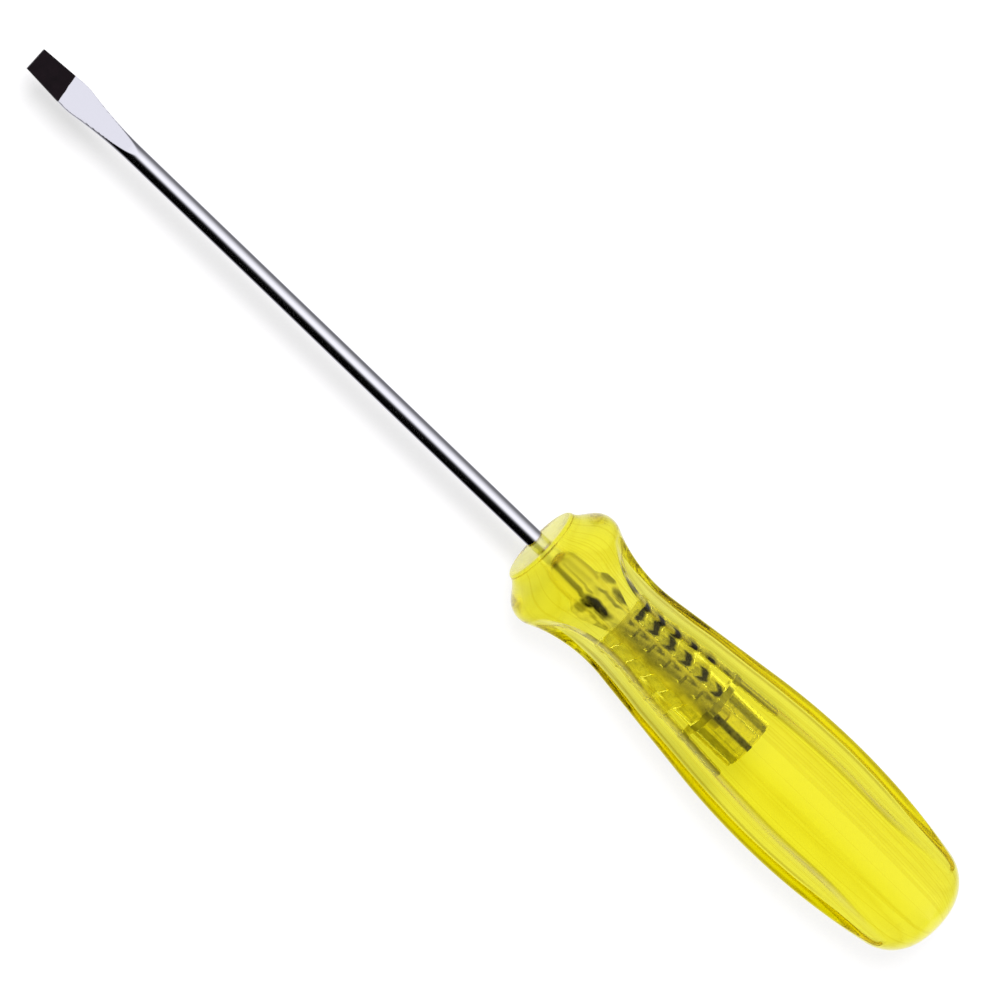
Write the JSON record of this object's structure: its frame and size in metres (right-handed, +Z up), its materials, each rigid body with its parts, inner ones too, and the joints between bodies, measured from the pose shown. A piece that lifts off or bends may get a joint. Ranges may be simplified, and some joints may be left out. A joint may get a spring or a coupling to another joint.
{
  "type": "screwdriver",
  "caption": "Slotted screwdriver: long round chrome shank with a flared, blackened flat tip, moulded into a fluted transparent yellow handle over a ribbed inner core.",
  "frame": {"origin": "under the middle of the tool's length, on the surface it lies on", "axes": "+X along the tool towards the blade's tip, +Z up through the middle of the handle's upper land, +Y across the tool. The blade's flat faces are turned 10 degrees about X from level, with their upper normal leaning to -Y"},
  "size_m": [0.269, 0.032, 0.0308],
  "materials": {
    "chrome_steel": "bright chrome plate, black oxide on the last 9 mm of the tip",
    "core_plastic": "darker yellow translucent moulding",
    "handle_plastic": "clear yellow, polished"
  },
  "bodies": {
    "root": {"blade": "chrome_steel", "core": "core_plastic", "handle": "handle_plastic"}
  },
  "joints": []
}
